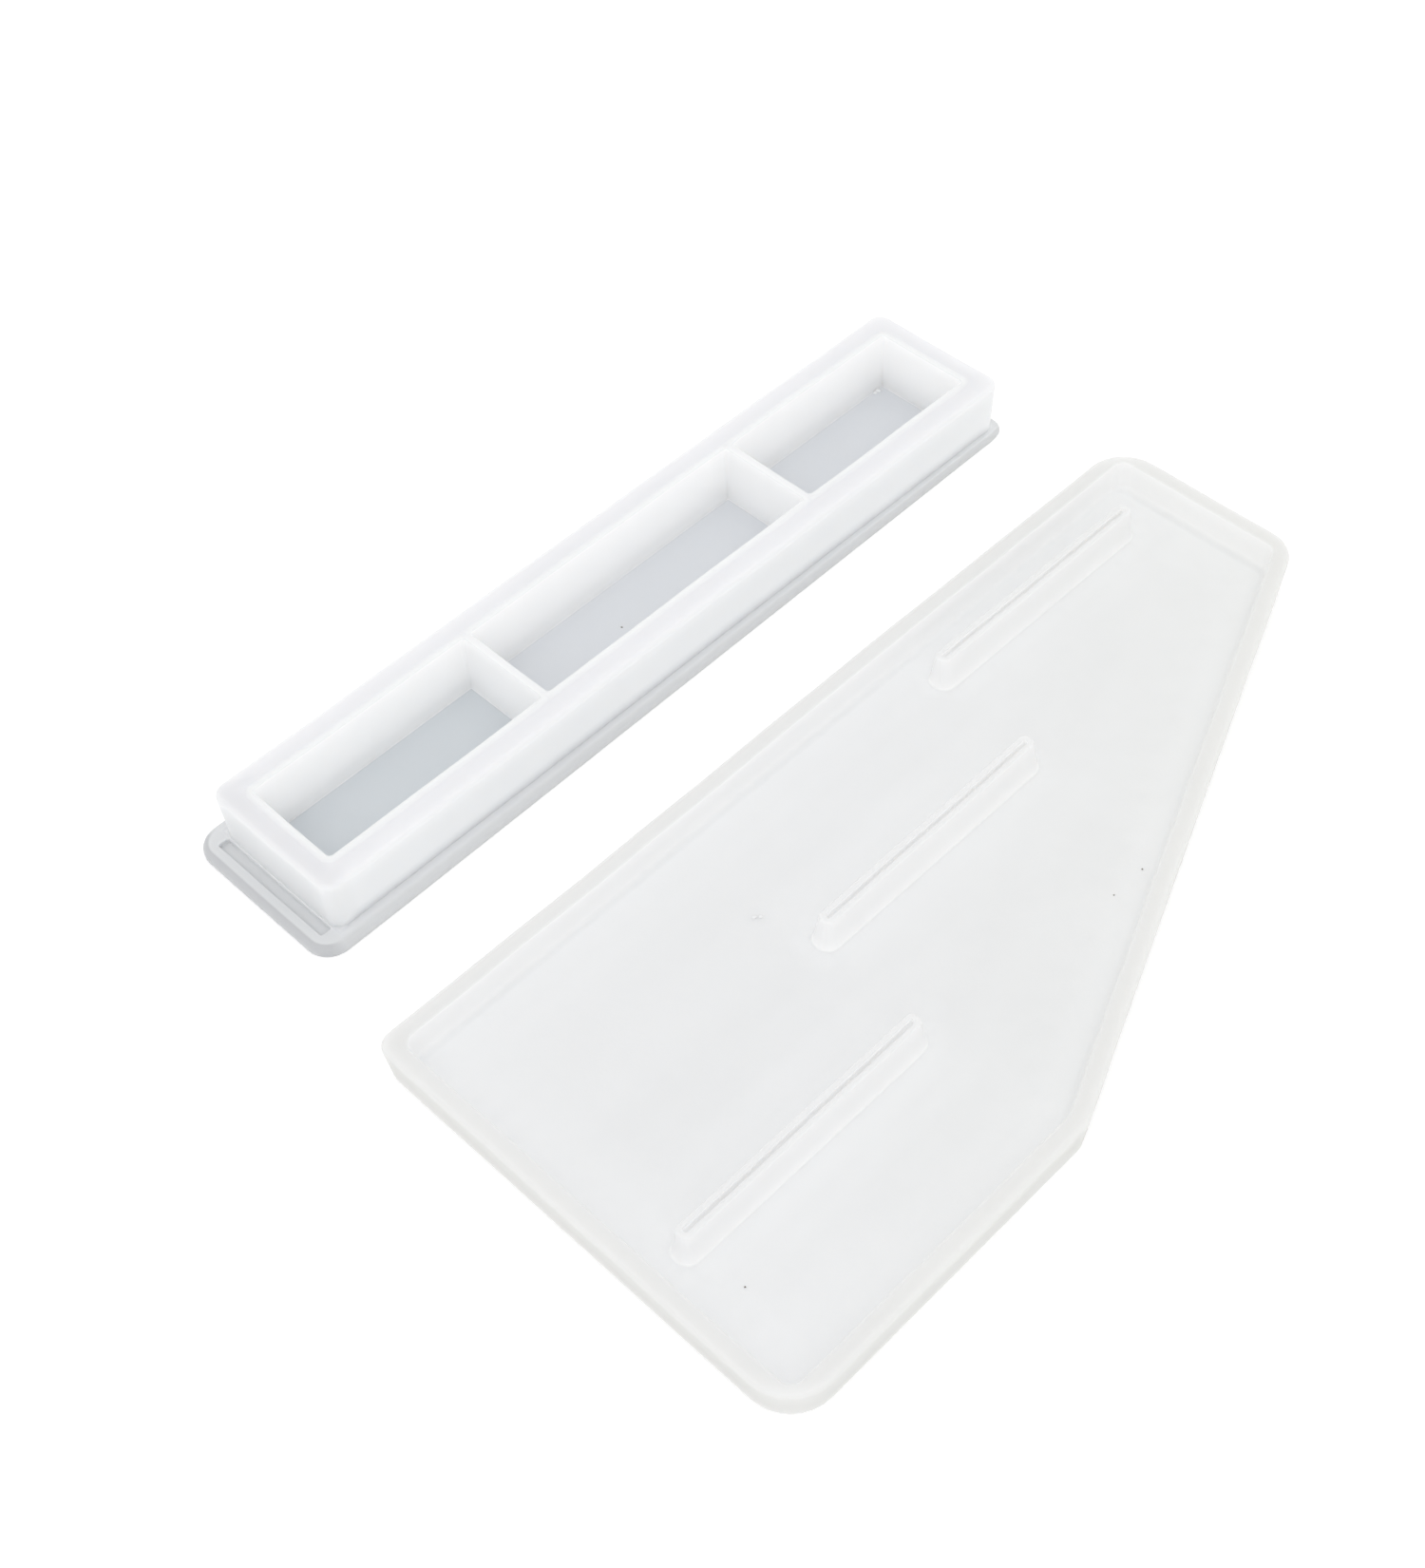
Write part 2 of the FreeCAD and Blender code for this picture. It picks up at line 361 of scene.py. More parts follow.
# %% Colours
def from_hex(code):
    """A colour as it is written on a screen, turned to the linear values that light uses."""
    values = [int(code[place:place + 2], 16) / 255 for place in (1, 3, 5)]
    linear = [v / 12.92 if v <= 0.04045 else ((v + 0.055) / 1.055) ** 2.4 for v in values]
    return (*linear, 1.0)


print("the silicone's cool white as light: %.3f %.3f %.3f" % from_hex("#DDDFE2")[:3])

# %% The silicone
DEEPEST = 20.0           # mm, the scale of the depths below: a share of 1 is this deep
SILICONE_IOR = 1.41


def cast_silicone(name, stops_given):
    """Milky translucent silicone, cast. Each stop is (way along the skin, colour, how many mm
    deep light wanders there): a thick wall is lit through both faces, and a thin sheet has
    little silicone behind its face to send light back. The colours also hold painted light and
    shade, and the level attribute multiplies more painted light and shade in."""
    material, tree, shader = new_material(name)
    place = add_node(tree, "ShaderNodeTexCoord").outputs["Object"]
    way = add_node(tree, "ShaderNodeAttribute", attribute_name="way").outputs["Fac"]
    level = add_node(tree, "ShaderNodeAttribute", attribute_name="level").outputs["Fac"]
    tint = add_node(tree, "ShaderNodeValToRGB", {"Fac": way})
    stops = tint.color_ramp.elements
    for _ in stops_given[2:]:
        stops.new(0.5)
    for stop, (at, colour, depth) in zip(stops, stops_given):
        stop.position, stop.color = at, (*from_hex(colour)[:3], depth / DEEPEST)
    # slow clouds, some 30 mm across, such as uneven mixing leaves
    cloud = add_node(tree, "ShaderNodeTexNoise", {"Vector": place, "Scale": 32.0, "Detail": 2.0})
    shade = add_node(tree, "ShaderNodeMapRange", {"Value": cloud.outputs[0], "From Min": 0.3,
                                                  "From Max": 0.7, "To Min": 0.985,
                                                  "To Max": 1.0})
    # a slow drift from a cool to a warmer white across the casting
    across = add_node(tree, "ShaderNodeVectorMath", {0: place, 1: (7.0, -9.0, 0.0)},
                      operation="DOT_PRODUCT").outputs["Value"]
    drift = add_node(tree, "ShaderNodeMix", {
        "Factor": across, "A": (0.992, 0.996, 1.0, 1.0), "B": (0.989, 0.993, 0.981, 1.0)},
        data_type="RGBA")
    colour = tint.outputs["Color"]
    # the level multiplies painted light and shade into the colour
    for change in (shade.outputs[0], drift.outputs[2], level):
        colour = add_node(tree, "ShaderNodeMix", {"Factor": 1.0, "A": colour, "B": change},
                          data_type="RGBA", blend_type="MULTIPLY").outputs[2]
    # satin: the grain of the former, about 0.4 mm, and undulations about 12 mm long
    grain = add_node(tree, "ShaderNodeTexNoise", {"Vector": place, "Scale": 2500.0,
                                                  "Detail": 1.0})
    slow = add_node(tree, "ShaderNodeTexNoise", {"Vector": place, "Scale": 80.0, "Detail": 1.0})
    coarse = add_node(tree, "ShaderNodeBump", {"Height": slow.outputs[0], "Strength": 0.25,
                                               "Distance": 0.0008})
    fine = add_node(tree, "ShaderNodeBump", {"Height": grain.outputs[0], "Strength": 0.06,
                                             "Distance": 0.0002, "Normal": coarse.outputs[0]})
    satin = add_node(tree, "ShaderNodeMapRange", {"Value": cloud.outputs[0], "To Min": 0.36,
                                                  "To Max": 0.5})
    # a thick wall lets light wander through it, from its bright side to its dim one
    depth = add_node(tree, "ShaderNodeMath", {0: tint.outputs["Alpha"], 1: DEEPEST * MM},
                     operation="MULTIPLY")
    fill_inputs(tree, shader, {
        "Base Color": colour, "Normal": fine.outputs[0], "Roughness": satin.outputs[0],
        "IOR": SILICONE_IOR, "Subsurface Weight": 1.0, "Subsurface Scale": depth.outputs[0],
        "Subsurface Radius": (1.0, 0.97, 0.94)})
    return material


# way along the loaf's skin: floor of the first cell 0, other floors 0.1, their fillets 0.2,
# cell walls 0.25, lip 0.35, rim 0.45 to 0.55, outer wall to 0.7, its foot 0.76, foot plate 0.82,
# the plate's edge 0.92, and 1 where that edge runs round the pull end
# The stops paint light and shade in too: the cell walls and their fillets are painted whitest
# against the shade in the deep cells, the outer wall is painted darker near its foot, the first
# cell's floor greyer than the others, and the plate's edge darker, most round the pull end.
loaf_silicone = cast_silicone("silicone_milky_cast_loaf", [
    (0.00, "#D5D9DC", 0.8), (0.10, "#DDDFE2", 0.8), (0.20, "#FEFEFE", 2.5),
    (0.25, "#FDFDFD", 10.0), (0.35, "#E5E6E6", 9.0), (0.45, "#E5E5E7", 6.0),
    (0.55, "#EBECED", 6.0), (0.62, "#F0F1F2", 7.0), (0.70, "#E2E3E5", 4.0),
    (0.75, "#E4E5E6", 3.0), (0.82, "#E1E2E3", 0.8), (0.92, "#D7D8D9", 0.8),
    (1.00, "#C7C8CA", 0.8)])
# way along the tray's skin: grooves 0, floor 0.3, walls and fins 0.5, tops of the fins 0.6,
# rim 0.75, outside 1
# The stops paint light and shade in too: walls, fin sides and grooves are painted lighter than
# the floor against the shade round them, the tops of the fins lighter still as a painted
# highlight, and the rim's outer rounding down to the outside darker as painted shade.
tray_silicone = cast_silicone("silicone_clear_cast_tray", [
    (0.00, "#DADADA", 5.0), (0.30, "#D2D3D4", 5.0), (0.50, "#D8D8D8", 12.0),
    (0.60, "#DDDDDD", 12.0), (0.75, "#D4D4D3", 12.0), (1.00, "#D2D2D0", 10.0)])
print("silicones", loaf_silicone.name, tray_silicone.name)

# %% [markdown]
# ## The loaf mould
# Each cell is a stack of rings from its floor up to the lip. Where two cells meet, the last ring
# of each runs along the middle of the web, so that the two stacks share their points there. The
# outer stack then takes the whole row over the rim, down the wall and round the foot plate.
# Cutting three boxes out of a block would be quicker, but would leave the webs' ends and the
# lip's corners to a bevel, which breaks where roundings of different sizes meet.

# %% Profile and outline of a cell
FLOOR_FILLET, LIP_ROUND, LIP_CREST = 0.45, 0.35, 0.8
POINT_SPACING = 3.5      # along the long walls
SUPPORT = 0.4            # a ring this far beyond a rounding keeps the level face flat
SHARPEST = 0.2           # no corner is rounded less than this


def cell_profile(floor_way):
    """(offset out from the mouth's edge, height, way) from the floor up to the lip's crest."""
    foot = -CELL_DRAFT - FLOOR_FILLET
    rows = [(foot - SUPPORT, FLOOR, floor_way), (foot, FLOOR, floor_way)]
    # the fillet takes way 0.2 and the wall 0.25, the whitest tints: painted light against the
    # shade in the cell
    for out, down in quarter(FLOOR_FILLET, 4)[1:]:
        rows.append((foot + out, FLOOR + down, 0.2))
    wall_low, wall_high = FLOOR + FLOOR_FILLET, LOAF_TOP - LIP_ROUND
    for share in np.linspace(0, 1, 7)[1:]:
        height = wall_low + (wall_high - wall_low) * share
        rows.append((-CELL_DRAFT * (1 - share), height, 0.25))
    for out, down in quarter(LIP_ROUND, 4)[::-1][1:]:
        rows.append((LIP_ROUND - out, LOAF_TOP - down, 0.35))
    rows.append((LIP_CREST, LOAF_TOP, 0.35))
    return rows


def cell_runs(length):
    """Points along the four sides of a cell."""
    along = even_run(round(length / POINT_SPACING))
    across = even_run(round(CELL_WIDTH / POINT_SPACING))
    return [along, across, along, across]


def cell_outline(start, length, out):
    """The cell's outline, moved out from the edge of its mouth, with its corners rounded."""
    corners = rectangle(start - out, CELL_ROW_Y - out,
                        start + length + out, CELL_ROW_Y + CELL_WIDTH + out)
    return ring(corners, [max(CELL_CORNER + out, SHARPEST)] * 4, cell_runs(length))


print("each cell is", len(cell_profile(0.0)), "rings from its floor to the lip's crest")

# %% Where two cells meet
def smooth(share):
    """Eases a share from 0 to 1 in and out."""
    return share * share * (3 - 2 * share)


def share_boundary(start, length, first, last):
    """The last ring of a cell: outside the lip, or along the middle of a web it shares."""
    outline = cell_outline(start, length, LIP_WIDTH)
    runs = cell_runs(length)
    first_places = np.cumsum([0] + [ARC_STEPS + 1 + len(run) for run in runs])[:4]
    y_low, y_high = CELL_ROW_Y - LIP_WIDTH, CELL_ROW_Y + CELL_WIDTH + LIP_WIDTH
    reach = CELL_CORNER + LIP_WIDTH
    half = ARC_STEPS // 2
    shares = np.arange(half + 1) / half
    sides = []
    if not first:
        sides.append((start - DIVIDER / 2, 1, (0, 3)))
    if not last:
        sides.append((start + length + DIVIDER / 2, -1, (1, 2)))
    for middle, inward, (near, far) in sides:
        # each corner's points run straight: half along the long wall and half along the web
        level = np.stack([middle + inward * shares[::-1] * reach, np.full(half + 1, y_low)], 1)
        rising = np.stack([np.full(half + 1, middle), y_low + shares * reach], 1)
        legs = {near: (rising[::-1], level[::-1]) if near == 0 else (level, rising)}
        far_level = level * [1, 0] + [0, y_high]
        far_rising = np.stack([np.full(half + 1, middle), y_high - shares * reach], 1)
        legs[far] = (far_level, far_rising) if far == 3 else (far_rising[::-1], far_level[::-1])
        for corner, (one, two) in legs.items():
            place = first_places[corner]
            outline[place:place + ARC_STEPS + 1] = np.concatenate([one, two[1:]])
        side = 3 if near == 0 else 1
        place = first_places[side] + ARC_STEPS + 1
        outline[place:place + len(runs[side]), 0] = middle
    on_web = np.zeros(len(outline), bool)
    for middle, _, _ in sides:
        on_web |= np.abs(outline[:, 0] - middle) < 1e-6
    from_lip = np.minimum(outline[:, 1] - y_low, y_high - outline[:, 1])
    ramp = np.clip(from_lip / (LIP_WIDTH - LIP_ROUND), 0, 1)
    return outline, np.where(on_web, LOAF_RIM + LIP_HEIGHT * smooth(ramp), LOAF_RIM)


def add_cell(skin, start, length, first, last):
    """One cell: its floor, its wall, its lip and the slope down to the rim."""
    rows = [(cell_outline(start, length, out), height, way)
            for out, height, way in cell_profile(0.0 if first else 0.1)]
    crest, crest_height, _ = rows[-1]
    boundary, boundary_heights = share_boundary(start, length, first, last)
    for share in np.linspace(0, 1, 5)[1:]:
        rows.append((crest + (boundary - crest) * share,
                     crest_height + (boundary_heights - crest_height) * smooth(share),
                     0.35 + 0.1 * share))
    laid = skin.stack(rows)
    skin.close(laid[0], up=True)
    return boundary


# %% Rim and outer wall
FOOT_FILLET = 0.14       # where the wall meets the foot plate
STRIP = 0.08             # level strip that is left on the plate beside a rounding


def outer_corners(side, pull_end, plain_end):
    """Corners of an outline round the whole row, moved out by its own distance on each side."""
    return rectangle(CELL_ROW_X - pull_end, CELL_ROW_Y - side,
                     CELL_ROW_END + plain_end, CELL_ROW_Y + CELL_WIDTH + side)


def row_runs(boundaries):
    """Shares along the four sides of the row, at the points that the cells' rings have."""
    y_low = CELL_ROW_Y - LIP_WIDTH
    straight_low, straight_high = CELL_ROW_X + CELL_CORNER, CELL_ROW_END - CELL_CORNER
    places = sorted({round(float(x), 5) for ring_points in boundaries
                     for x, y in ring_points if abs(y - y_low) < 1e-6})
    near = [(x - straight_low) / (straight_high - straight_low) for x in places]
    near = np.array([share for share in near if 1e-5 < share < 1 - 1e-5])
    across = even_run(round(CELL_WIDTH / POINT_SPACING))
    return [near, across, 1 - near[::-1], across]


def toward_ends(outline):
    """0 along the sides, and 1 where an outline runs across the pull end or the plain end."""
    beyond = np.maximum(CELL_ROW_X - outline[:, 0], outline[:, 0] - CELL_ROW_END)
    return np.clip((beyond - 2.0) / 3.0, 0, 1)


def outer_rows(runs):
    """Rings from the foot of the lip over the rim and down to the foot of the wall."""
    rows = []

    def add(inset, height, corner, way=0.45):
        inset += WALL_LEAN * (1 - height / LOAF_RIM)
        corners = outer_corners(SIDE_WALL - inset, END_WALL - inset, END_WALL - inset)
        outline = ring(corners, [corner] * 4, runs)
        # across the ends the way is held at 0.55, so the end walls keep the rim's tone without
        # the painted shade near the foot
        rows.append((outline, height, way + min(0.55 - way, 0) * toward_ends(outline)))

    for out in (LIP_WIDTH, LIP_WIDTH + SUPPORT):
        outline = ring(outer_corners(out, out, out), [CELL_CORNER + out] * 4, runs)
        rows.append((outline, LOAF_RIM, 0.45))
    add(RIM_ROUND + SUPPORT, LOAF_RIM, WALL_CORNER - RIM_ROUND - SUPPORT)
    for out, down in quarter(RIM_ROUND, 8):
        add(RIM_ROUND - out, LOAF_RIM - down, WALL_CORNER - RIM_ROUND + out,
            0.45 + 0.1 * down / RIM_ROUND)
    foot = PLATE + FOOT_FILLET
    # down the wall the way runs from 0.55 to 0.7: painted a little lighter low down and darker
    # at the foot, as painted shade
    for share in np.linspace(0, 1, 9)[1:]:
        add(0, LOAF_RIM - RIM_ROUND + (foot - LOAF_RIM + RIM_ROUND) * share, WALL_CORNER,
            0.55 + 0.15 * share ** 3)
    for out, down in quarter(FOOT_FILLET, 3)[1:]:
        add(-down, foot - out, WALL_CORNER + down, 0.76)
    add(-FOOT_FILLET - STRIP, PLATE, WALL_CORNER + FOOT_FILLET + STRIP, 0.8)
    return rows


# %% Foot plate and its slot
UNDER_ROUND = 0.3        # edge of a mould against the bench


def plate_rows(runs):
    """Rings from the level top of the foot plate over its edge to the bench."""
    rows = []

    def add(inset, height, way):
        corners = outer_corners(SIDE_WALL + PLATE_SIDE - inset,
                                END_WALL + PLATE_PULL_END - inset,
                                END_WALL + PLATE_PLAIN_END - inset)
        outline = ring(corners, [PLATE_CORNER - inset] * 4, runs)
        toward_plain = np.clip((outline[:, 0] - CELL_ROW_X) / (CELL_ROW_END - CELL_ROW_X), 0, 1)
        from_edge = outline[:, 1] - CELL_ROW_Y + SIDE_WALL + PLATE_SIDE
        by_tray = np.clip(1 - from_edge / PLATE_SIDE, 0, 1)
        outline[:, 1] += PLATE_TAPER * toward_plain * by_tray
        # round the pull end the plate's edge runs on to way 1, painted darker still as painted
        # shade
        past_wall = np.clip((CELL_ROW_X - END_WALL - outline[:, 0]) / 3.0, 0, 1)
        at_edge = np.clip((way - 0.82) / 0.03, 0, 1)
        rows.append((outline, height, way + (1 - way) * at_edge * past_wall))

    add(PLATE_ROUND + STRIP, PLATE, 0.82)
    for out, down in quarter(PLATE_ROUND, 6):
        add(PLATE_ROUND - out, PLATE - down, 0.82 + 0.1 * min(2 * out / PLATE_ROUND, 1))
    add(0, (PLATE - PLATE_ROUND + UNDER_ROUND) / 2, 0.92)
    for out, down in quarter(UNDER_ROUND, 3)[::-1]:
        add(UNDER_ROUND - out, down, 0.92)
    return rows


def slot_rows():
    """Rings from the bead round the slot down to its floor, laid outside in."""
    wall_foot = CELL_ROW_X - END_WALL + WALL_LEAN * (1 - PLATE / LOAF_RIM)
    x_high = wall_foot - SLOT_BEAD
    corners = rectangle(x_high - SLOT_WIDTH, CELL_ROW_Y - SIDE_WALL + SLOT_END_GAP,
                        x_high, CELL_ROW_Y + CELL_WIDTH + SIDE_WALL - SLOT_END_GAP)
    runs = [even_run(1), even_run(9)] * 2

    def outline(out):
        (x_low, y_low), _, (x_top, y_top), _ = corners
        grown = rectangle(x_low - out, y_low - out, x_top + out, y_top + out)
        return ring(grown, [SLOT_CORNER + out] * 4, runs)

    edge, foot = 0.12, 0.3
    rows = [(outline(-foot - 0.1), FLOOR, 0.82)]
    for out, down in quarter(foot, 3):
        rows.append((outline(out - foot), FLOOR + down, 0.82))
    for out, down in quarter(edge, 3)[::-1]:
        rows.append((outline(edge - out), PLATE - down, 0.82))
    return rows


# %% The whole loaf mould
PULL_END_PAINTED_SHADE = 0.08     # how much greyer the casting is painted at its pull end, as painted shade


def loaf_skin():
    """The whole loaf mould as one closed skin."""
    skin = Skin()
    boundaries = []
    start = CELL_ROW_X
    for index, length in enumerate(CELL_LENGTHS):
        boundaries.append(add_cell(skin, start, length, index == 0,
                                   index == len(CELL_LENGTHS) - 1))
        start += length + DIVIDER
    runs = row_runs(boundaries)
    wall = skin.stack(outer_rows(runs))
    plate = skin.stack(plate_rows(runs))
    slot = skin.stack(slot_rows())
    skin.close(slot[0], up=True)
    fill_between(skin, plate[0], wall[-1], slot[-1])
    skin.close(plate[-1], up=False)
    return finish(skin, "loaf_casting", LOAF_LOW, LOAF_HIGH)


def set_painted_light_and_shade(data, levels):
    """Keeps, for each point, the factor of painted light or shade by which the silicone looks
    brighter or darker.
    """
    data.attributes.new("level", "FLOAT", "POINT").data.foreach_set("value", levels)


def pull_end_painted_shade(data):
    """Painted shade: greyer past the first cell, over 3 mm, and less so low down by the plate.
    """
    x, _, z = np.array([vert.co for vert in data.vertices]).T / MM
    past_cell = np.clip((CELL_ROW_X - 1.0 - x) / 3.0, 0, 1)
    above_plate = np.clip((z - PLATE) / 2.0, 0.3, 1)
    return 1 - PULL_END_PAINTED_SHADE * past_cell * above_plate


loaf = loaf_skin()
loaf.data.materials.append(loaf_silicone)
set_painted_light_and_shade(loaf.data, pull_end_painted_shade(loaf.data))
print("loaf skin", len(loaf.data.vertices), "points", len(loaf.data.polygons), "faces")

# %% [markdown]
# ## The fins
# Three equal fins stand in the tray, each one step along and one step across from the last.
# What repeats at equal steps is a job for Geometry Nodes: one fin is modelled as rings, and a
# small tree sets copies of it along a line. Its inputs are the number of fins and the step.

# %% One fin
def fin_skin():
    """One fin at the place of the first, open below, with a flare that runs into the floor."""
    top = PANEL_TOP - FIN_TOP_DROP
    x_low = PANEL_LOW[0] + PANEL_WALL + FIN_WIDE_END_GAP
    last_centre = PANEL_HIGH[1] - PANEL_WALL - FIN_LONG_EDGE_GAP - FIN_THICKNESS / 2
    centre = last_centre - FIN_STEP_ACROSS * (FIN_COUNT - 1)
    runs = [even_run(round(FIN_LENGTH / POINT_SPACING)), even_run(1)] * 2
    skin = Skin()
    rows = []

    def add(inset, height, corner, low=x_low, width=FIN_THICKNESS, way=0.5):
        corners = rectangle(low + inset, centre - width / 2 + inset,
                            2 * x_low + FIN_LENGTH - low - inset, centre + width / 2 - inset)
        rows.append((ring(corners, [corner] * 4, runs), height, way))

    def add_groove(out, height, way=0.0):
        add(-out, height, GROOVE_WIDTH * 0.42 + out, x_low + GROOVE_END_GAP, GROOVE_WIDTH, way)

    add_groove(-0.4, top - GROOVE_DEPTH)
    for out, down in quarter(GROOVE_FOOT, 3)[1:]:
        add_groove(out - GROOVE_FOOT, top - GROOVE_DEPTH + down)
    # the groove's edge and the fin's top take way 0.6, which the tray's tint paints lighter as a
    # highlight
    for out, down in quarter(GROOVE_EDGE, 3)[::-1]:
        add_groove(GROOVE_EDGE - out, top - down, 0.6 * (1 - down / GROOVE_EDGE))
    rounding, flare = 0.5, 0.4
    for out, down in quarter(rounding, 4):
        add(FIN_DRAFT + rounding - out, top - down, FIN_CORNER - FIN_DRAFT - rounding + out,
            way=0.6 - 0.1 * down / rounding)
    wall_high, wall_low = top - rounding, FLOOR + flare
    for share in np.linspace(0, 1, 4)[1:]:
        add(FIN_DRAFT * (1 - share), wall_high + (wall_low - wall_high) * share,
            FIN_CORNER - FIN_DRAFT * (1 - share))
    for out, down in quarter(flare, 4)[1:]:
        add(-down, FLOOR + flare - out, FIN_CORNER + down, way=0.5 - 0.2 * down / flare)
    add(-flare - SUPPORT, FLOOR, FIN_CORNER + flare + SUPPORT, way=0.3)
    laid = skin.stack(rows)
    skin.close(laid[0], up=True)
    data = to_data(skin, "fin_master")
    data.transform(Matrix.Scale(MM, 4))
    return add_object("fin_master", data)


fin_master = fin_skin()
print("one fin", len(fin_master.data.polygons), "faces")

# %% Helpers for Geometry Nodes
def start_tree(name, inputs):
    """A Geometry Nodes tree with named inputs, each with its kind, and their sockets."""
    tree = bpy.data.node_groups.new(name, "GeometryNodeTree")
    tree.interface.new_socket("Geometry", in_out="OUTPUT", socket_type="NodeSocketGeometry")
    for label, kind in inputs.items():
        tree.interface.new_socket(label, in_out="INPUT", socket_type="NodeSocket" + kind)
    return tree, add_node(tree, "NodeGroupInput").outputs


def end_tree(tree, copies, material):
    """Turns copies into real faces, which the export needs, and dresses them."""
    real = add_node(tree, "GeometryNodeRealizeInstances", {"Geometry": copies.outputs[0]})
    dressed = add_node(tree, "GeometryNodeSetMaterial",
                       {"Geometry": real.outputs[0], "Material": material})
    add_node(tree, "NodeGroupOutput", {"Geometry": dressed.outputs[0]})


def bake_tree(name, tree, values, base=None):
    """Runs a tree on a fresh object and keeps the result as a plain mesh."""
    holder = add_object(name + "_holder", base or bpy.data.meshes.new(name + "_base"))
    modifier = holder.modifiers.new("nodes", "NODES")
    modifier.node_group = tree
    for item in tree.interface.items_tree:
        if item.in_out == "INPUT" and item.name in values:
            modifier[item.identifier] = values[item.name]
    bpy.context.view_layer.update()
    evaluated = holder.evaluated_get(bpy.context.evaluated_depsgraph_get())
    data = bpy.data.meshes.new_from_object(evaluated)
    bpy.data.objects.remove(holder)
    data.name = name
    return add_object(name, data)


# %% Copies along a line
def repeat_tree():
    """A tree that sets copies of an object's mesh on a line of equal steps."""
    tree, given = start_tree("copies_at_equal_steps", {
        "Piece": "Object", "Count": "Int", "Step": "Vector", "Material": "Material"})
    line = add_node(tree, "GeometryNodeMeshLine",
                    {"Count": given["Count"], "Offset": given["Step"]}, mode="OFFSET")
    piece = add_node(tree, "GeometryNodeObjectInfo", {"Object": given["Piece"]})
    copies = add_node(tree, "GeometryNodeInstanceOnPoints",
                      {"Points": line.outputs["Mesh"], "Instance": piece.outputs["Geometry"]})
    end_tree(tree, copies, given["Material"])
    return tree


first_start = PANEL_WALL + FIN_WIDE_END_GAP
last_start = PANEL_HIGH[0] - PANEL_LOW[0] - PANEL_WALL - FIN_NARROW_END_GAP - FIN_LENGTH
step_along = (last_start - first_start) / (FIN_COUNT - 1)
fin_step = (step_along * MM, FIN_STEP_ACROSS * MM, 0.0)
fins = bake_tree("panel_fins", repeat_tree(),
                 {"Piece": fin_master, "Count": FIN_COUNT, "Step": fin_step,
                  "Material": tray_silicone})
bpy.data.objects.remove(fin_master)
print("fins", len(fins.data.polygons), "faces, step %.1f by %.1f mm"
      % (step_along, FIN_STEP_ACROSS))

# %% [markdown]
# ## The panel tray
# The tray is one stack of rings too: an outline with five corners, taken up the inside, over a
# narrow rim and down the outside. Tray and fins are one casting, so the baked fins go into the
# same skin, and the floor is filled between the tray's lowest ring and the foot of each fin.
# Two closed bodies pushed into each other would show a dark line there instead.
#
# Clear silicone passes light on, so a corner between wall and floor is nearly as bright as the
# open floor. Each point sends rays to the sky, counts how many the casting itself stops, and
# keeps that share as a level that paints the tint a little brighter there: painted light where
# the casting shades a point.

# %% Outline and rings of the tray
def panel_corners(inset):
    """The tray's five corners, counter-clockwise, moved in by a distance."""
    x_low, y_low, _ = PANEL_LOW
    x_high, y_high, _ = PANEL_HIGH
    outline = [(x_low, y_low), (x_low + PANEL_BACK, y_low),
               (x_high, y_high - PANEL_NARROW_END), (x_high, y_high), (x_low, y_high)]
    moved = []
    for index in range(len(outline)):
        before, here, after = (np.array(outline[(index + step) % len(outline)])
                               for step in (-1, 0, 1))
        side_in, side_out = unit(here - before), unit(after - here)
        turn = side_in[0] * side_out[1] - side_in[1] * side_out[0]
        moved.append(here + (side_out - side_in) * inset / turn)
    return moved


def panel_runs():
    """Points along the five sides, about evenly spaced."""
    corners = panel_corners(0)
    lengths = [np.linalg.norm(corners[(index + 1) % 5] - corners[index]) for index in range(5)]
    return [even_run(round(length / POINT_SPACING)) for length in lengths]


def panel_rows():
    """Rings from the floor of the tray over its rim and down to the bench."""
    runs = panel_runs()
    top = PANEL_TOP
    fillet, edge = 1.4, 0.5
    inner = PANEL_WALL + PANEL_DRAFT
    rows = []

    def add(inset, height, corner, way=0.5):
        rows.append((ring(panel_corners(inset), np.broadcast_to(corner, 5), runs), height, way))

    def add_outside(inset, height, corner, way=1.0):
        add(inset + PANEL_LEAN * (1 - height / top), height, corner, way)

    add(inner + fillet + SUPPORT, FLOOR, PANEL_CELL_CORNER - fillet - SUPPORT, 0.3)
    for out, down in quarter(fillet, 4):
        add(inner + fillet - out, FLOOR + down, PANEL_CELL_CORNER - fillet + out,
            0.3 + 0.2 * down / fillet)
    low, high = FLOOR + fillet, top - edge
    for share in np.linspace(0, 1, 5)[1:]:
        add(inner - PANEL_DRAFT * share, low + (high - low) * share, PANEL_CELL_CORNER)
    for out, down in quarter(edge, 4)[::-1][1:]:
        add(PANEL_WALL - edge + out, top - down, PANEL_CELL_CORNER + edge - out, 0.75)
    inner_corner, outer_corner = PANEL_CELL_CORNER + edge, PANEL_CORNERS - PANEL_ROUND
    for share in (0.08, 0.5, 0.92):
        add(PANEL_WALL - edge + (PANEL_ROUND - PANEL_WALL + edge) * share, top,
            inner_corner + (outer_corner - inner_corner) * share, 0.75)
    # over the outer rounding the way runs to 1, where the tint is painted darker as painted
    # shade
    for out, down in quarter(PANEL_ROUND, 6):
        add_outside(PANEL_ROUND - out, top - down, PANEL_CORNERS - PANEL_ROUND + out,
                    0.75 + 0.25 * down / PANEL_ROUND)
    for share in np.linspace(0, 1, 5)[1:]:
        add_outside(0, top - PANEL_ROUND + (UNDER_ROUND - top + PANEL_ROUND) * share,
                    PANEL_CORNERS)
    for out, down in quarter(UNDER_ROUND, 3)[::-1][1:]:
        add_outside(UNDER_ROUND - out, down, PANEL_CORNERS - UNDER_ROUND + out)
    return rows


